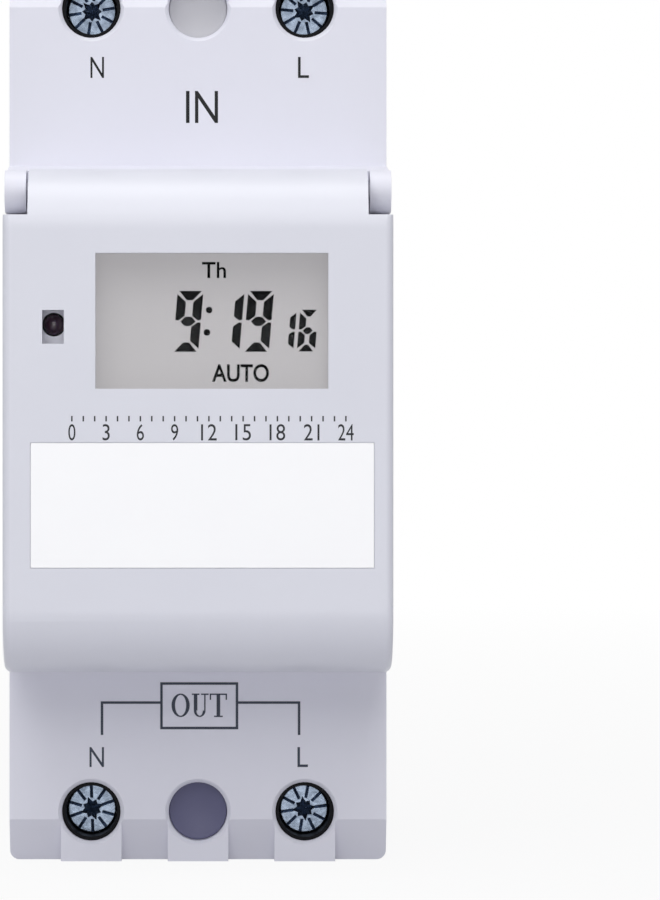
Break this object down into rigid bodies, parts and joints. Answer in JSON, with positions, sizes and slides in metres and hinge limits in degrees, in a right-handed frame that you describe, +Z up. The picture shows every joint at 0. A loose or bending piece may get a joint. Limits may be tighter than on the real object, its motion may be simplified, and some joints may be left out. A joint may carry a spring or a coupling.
{
  "type": "programmable timer switch",
  "caption": "Narrow rail-mounted timer switch with a hinged cover over a display and keys, and screw clamp terminals at both ends.",
  "frame": {"origin": "middle of the bottom of the whole part's box, standing on its lower end", "axes": "+Z up towards the IN terminals, front and cover facing -Y, +X to the right"},
  "size_m": [0.036, 0.0654, 0.0862],
  "materials": {
    "rear_plastic": "moulded, fine grain",
    "housing_plastic": "moulded, satin",
    "cover_plastic": "moulded, satin",
    "label_film": "printed film, plain white",
    "shell_screw_steel": "zinc plated",
    "terminal_brass": "stamped",
    "strap_copper": "stamped copper",
    "latch_plastic": "moulded",
    "spring_steel": "drawn wire",
    "clear_pane": "polished clear plastic",
    "display_glass": "grey reflective display",
    "frame_plastic": "moulded",
    "contact_rubber": "conductive rubber",
    "lamp_lens": "dark clear resin",
    "switch_plastic": "moulded",
    "circuit_board": "lacquered board",
    "chip_resin": "moulded resin",
    "can_steel": "drawn can",
    "link_plastic": "flat strip",
    "film_box": "moulded box",
    "capacitor_sleeve": "shrunk sleeve",
    "varistor_coat": "dipped coat",
    "resistor_coat": "dipped coat",
    "relay_plastic": "moulded",
    "relay_iron": "stamped iron",
    "coil_wire": "enamelled copper wire",
    "terminal_zinc": "blue zinc plated",
    "terminal_cage_steel": "zinc plated",
    "key_plastic": "moulded"
  },
  "bodies": {
    "housing": {"rear_base": "rear_plastic", "front_housing": "housing_plastic", "shell_screws": "shell_screw_steel", "clamp_bars": "terminal_brass", "neutral_strap": "strap_copper", "live_strap_out": "strap_copper", "live_strap_in": "strap_copper", "latch_spring": "spring_steel", "display_window": "clear_pane", "lcd_panel": "display_glass", "lcd_frame": "frame_plastic", "contact_strips": "contact_rubber", "status_lamp": "lamp_lens", "push_switches": "switch_plastic", "control_board": "circuit_board", "timer_chip": "chip_resin", "clock_crystal": "can_steel", "backup_battery": "can_steel", "board_link": "link_plastic", "power_board": "circuit_board", "board_screws": "shell_screw_steel", "film_capacitor": "film_box", "smoothing_capacitor": "capacitor_sleeve", "varistor": "varistor_coat", "rectifier_diodes": "chip_resin", "resistors": "resistor_coat", "relay_case": "relay_plastic", "relay_base": "relay_plastic", "relay_yoke": "relay_iron", "relay_coil": "coil_wire", "relay_fixed_contact": "strap_copper"},
    "cover": {"flip_cover": "cover_plastic", "blank_label": "label_film"},
    "latch": {"din_latch": "latch_plastic"},
    "armature": {"relay_armature": "relay_iron", "relay_contact_arm": "strap_copper"},
    "key_body_1": {"key_1": "key_plastic"},
    "key_body_2": {"key_2": "key_plastic"},
    "key_body_3": {"key_3": "key_plastic"},
    "key_body_4": {"key_4": "key_plastic"},
    "key_body_5": {"key_5": "key_plastic"},
    "key_body_6": {"key_6": "key_plastic"},
    "key_body_7": {"key_7": "key_plastic"},
    "key_body_8": {"key_8": "key_plastic"},
    "screw_out_n": {"terminal_screw_out_n": "terminal_zinc"},
    "cage_out_n": {"terminal_cage_out_n": "terminal_cage_steel"},
    "screw_out_l": {"terminal_screw_out_l": "terminal_zinc"},
    "cage_out_l": {"terminal_cage_out_l": "terminal_cage_steel"},
    "screw_in_n": {"terminal_screw_in_n": "terminal_zinc"},
    "cage_in_n": {"terminal_cage_in_n": "terminal_cage_steel"},
    "screw_in_l": {"terminal_screw_in_l": "terminal_zinc"},
    "cage_in_l": {"terminal_cage_in_l": "terminal_cage_steel"}
  },
  "joints": [
    {"name": "cover_hinge", "type": "hinge", "parent": "housing", "child": "cover", "pos_m": [0, -0.02615, 0.0635], "axis": [-1, 0, 0], "range_deg": [0, 110]},
    {"name": "key_press_1", "type": "slide", "parent": "housing", "child": "key_body_1", "axis": [0, 1, 0], "range_m": [0, 0.0005], "stiffness_N_per_m": 800, "springref_m": -0.0005},
    {"name": "key_press_2", "type": "slide", "parent": "housing", "child": "key_body_2", "axis": [0, 1, 0], "range_m": [0, 0.0005], "stiffness_N_per_m": 800, "springref_m": -0.0005},
    {"name": "key_press_3", "type": "slide", "parent": "housing", "child": "key_body_3", "axis": [0, 1, 0], "range_m": [0, 0.0005], "stiffness_N_per_m": 800, "springref_m": -0.0005},
    {"name": "key_press_4", "type": "slide", "parent": "housing", "child": "key_body_4", "axis": [0, 1, 0], "range_m": [0, 0.0005], "stiffness_N_per_m": 800, "springref_m": -0.0005},
    {"name": "key_press_5", "type": "slide", "parent": "housing", "child": "key_body_5", "axis": [0, 1, 0], "range_m": [0, 0.0005], "stiffness_N_per_m": 800, "springref_m": -0.0005},
    {"name": "key_press_6", "type": "slide", "parent": "housing", "child": "key_body_6", "axis": [0, 1, 0], "range_m": [0, 0.0005], "stiffness_N_per_m": 800, "springref_m": -0.0005},
    {"name": "key_press_7", "type": "slide", "parent": "housing", "child": "key_body_7", "axis": [0, 1, 0], "range_m": [0, 0.0005], "stiffness_N_per_m": 800, "springref_m": -0.0005},
    {"name": "key_press_8", "type": "slide", "parent": "housing", "child": "key_body_8", "axis": [0, 1, 0], "range_m": [0, 0.0005], "stiffness_N_per_m": 800, "springref_m": -0.0005},
    {"name": "screw_turn_out_n", "type": "hinge", "parent": "housing", "child": "screw_out_n", "pos_m": [-0.0102, -0.01305, 0.00473], "axis": [0, 1, 0], "range_deg": [0, 1852]},
    {"name": "cage_lift_out_n", "type": "slide", "parent": "housing", "child": "cage_out_n", "axis": [0, -1, 0], "range_m": [0, 0.0036]},
    {"name": "screw_turn_out_l", "type": "hinge", "parent": "housing", "child": "screw_out_l", "pos_m": [0.0102, -0.01305, 0.00473], "axis": [0, 1, 0], "range_deg": [0, 1852]},
    {"name": "cage_lift_out_l", "type": "slide", "parent": "housing", "child": "cage_out_l", "axis": [0, -1, 0], "range_m": [0, 0.0036]},
    {"name": "screw_turn_in_n", "type": "hinge", "parent": "housing", "child": "screw_in_n", "pos_m": [-0.0102, -0.01305, 0.08147], "axis": [0, 1, 0], "range_deg": [0, 1852]},
    {"name": "cage_lift_in_n", "type": "slide", "parent": "housing", "child": "cage_in_n", "axis": [0, -1, 0], "range_m": [0, 0.0036]},
    {"name": "screw_turn_in_l", "type": "hinge", "parent": "housing", "child": "screw_in_l", "pos_m": [0.0102, -0.01305, 0.08147], "axis": [0, 1, 0], "range_deg": [0, 1852]},
    {"name": "cage_lift_in_l", "type": "slide", "parent": "housing", "child": "cage_in_l", "axis": [0, -1, 0], "range_m": [0, 0.0036]},
    {"name": "latch_slide", "type": "slide", "parent": "housing", "child": "latch", "axis": [0, 0, -1], "range_m": [0, 0.004], "stiffness_N_per_m": 1500, "springref_m": -0.001, "deforming": ["latch_spring"]},
    {"name": "armature_pull", "type": "hinge", "parent": "housing", "child": "armature", "pos_m": [-0.0065, -0.00185, 0.0466], "axis": [1, 0, 0], "range_deg": [0, 2.4], "stiffness_Nm_per_rad": 0.02, "springref_deg": -2.86}
  ],
  "couplings": [
    {"joint": "screw_turn_out_n", "follows": "cage_lift_out_n", "rad_per_m": 8976},
    {"joint": "screw_turn_out_l", "follows": "cage_lift_out_l", "rad_per_m": 8976},
    {"joint": "screw_turn_in_n", "follows": "cage_lift_in_n", "rad_per_m": 8976},
    {"joint": "screw_turn_in_l", "follows": "cage_lift_in_l", "rad_per_m": 8976}
  ]
}
